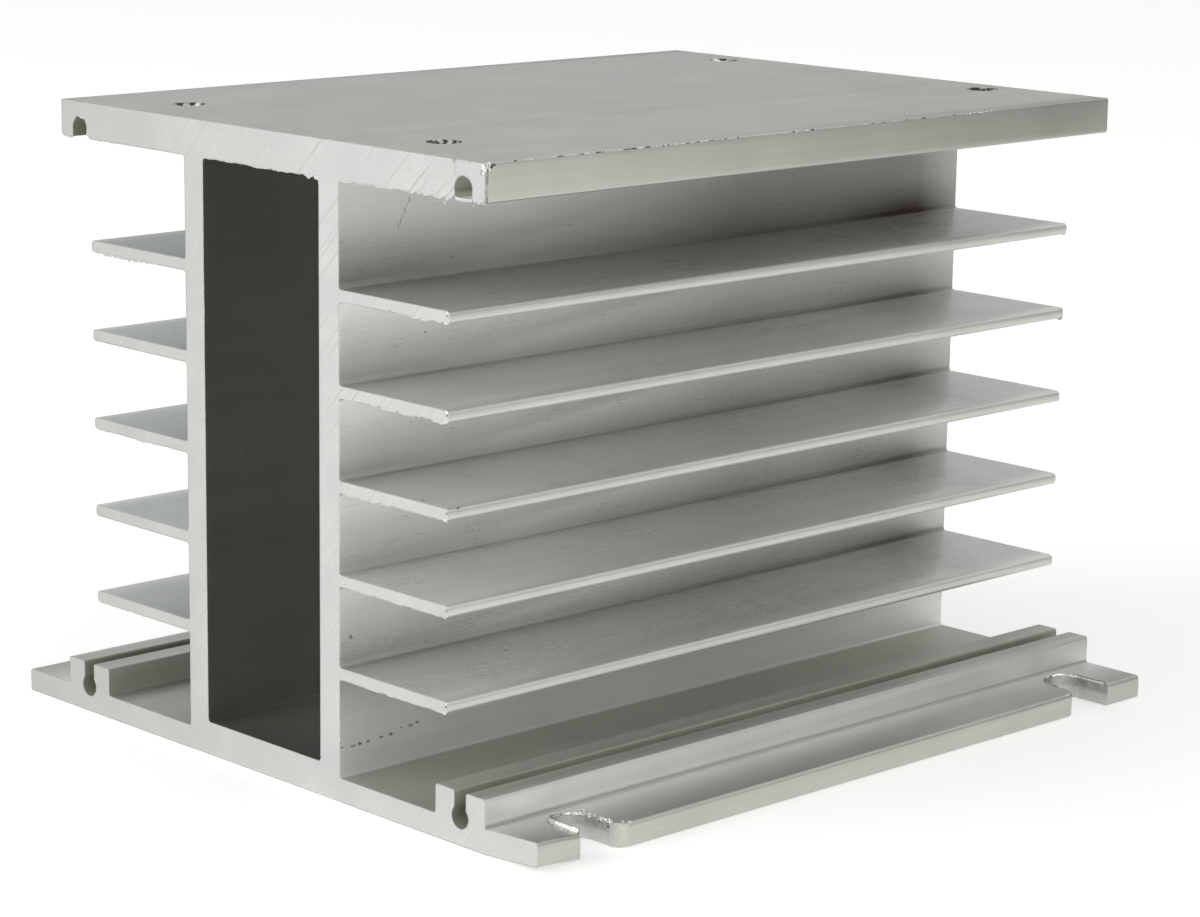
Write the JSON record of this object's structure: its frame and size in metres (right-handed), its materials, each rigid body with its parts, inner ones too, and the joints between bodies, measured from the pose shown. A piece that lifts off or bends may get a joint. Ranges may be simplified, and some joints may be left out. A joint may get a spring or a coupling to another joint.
{
  "type": "extruded heat sink",
  "caption": "Extruded aluminium heat sink: a mounting plate on a tall box channel with thin side fins and a flanged base with screw ports and open mounting slots.",
  "frame": {"origin": "middle of the base's underside", "axes": "+Z from the base to the mounting face, +Y along the extrusion, +X across the fins"},
  "size_m": [0.1, 0.11, 0.08],
  "materials": {
    "mill_aluminium": "mill-finish extrusion with saw-cut ends"
  },
  "bodies": {
    "root": {"heat_sink": "mill_aluminium"}
  },
  "joints": []
}
